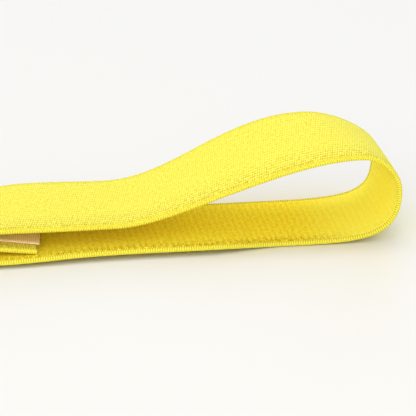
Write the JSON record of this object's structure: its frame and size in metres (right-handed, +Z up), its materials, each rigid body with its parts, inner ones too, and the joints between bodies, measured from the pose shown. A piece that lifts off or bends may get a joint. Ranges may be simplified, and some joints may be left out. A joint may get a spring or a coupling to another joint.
{
  "type": "tow rope handle",
  "caption": "Soft tow rope handle: a hand loop of wide elastic webbing, sewn at its neck round a folded strap that holds a swinging steel D-ring for the rope.",
  "frame": {"origin": "on the surface that the handle lies on, under the middle of its box", "axes": "+X from the D-ring towards the hand loop, +Y across the webbing, +Z up from the surface"},
  "size_m": [0.26, 0.0618, 0.0344],
  "materials": {
    "yellow_webbing": "woven elastic webbing, smooth outside and brushed inside",
    "tan_tape": "ribbed woven tape",
    "yellow_thread": "twisted polyester sewing thread",
    "stainless_steel": "polished welded wire"
  },
  "bodies": {
    "handle": {"grip_band": "yellow_webbing", "ring_strap": "yellow_webbing", "tan_tape": "tan_tape", "box_seam_needle_thread": "yellow_thread", "box_seam_bobbin_thread": "yellow_thread", "throat_tack_needle_thread": "yellow_thread", "throat_tack_bobbin_thread": "yellow_thread", "end_tack_needle_thread": "yellow_thread", "end_tack_bobbin_thread": "yellow_thread"},
    "ring": {"d_ring": "stainless_steel"}
  },
  "joints": [
    {"name": "ring_swing", "type": "hinge", "parent": "handle", "child": "ring", "pos_m": [-0.09463, 0, 0.00545], "axis": [0, 1, 0], "range_deg": [0, 150]}
  ]
}
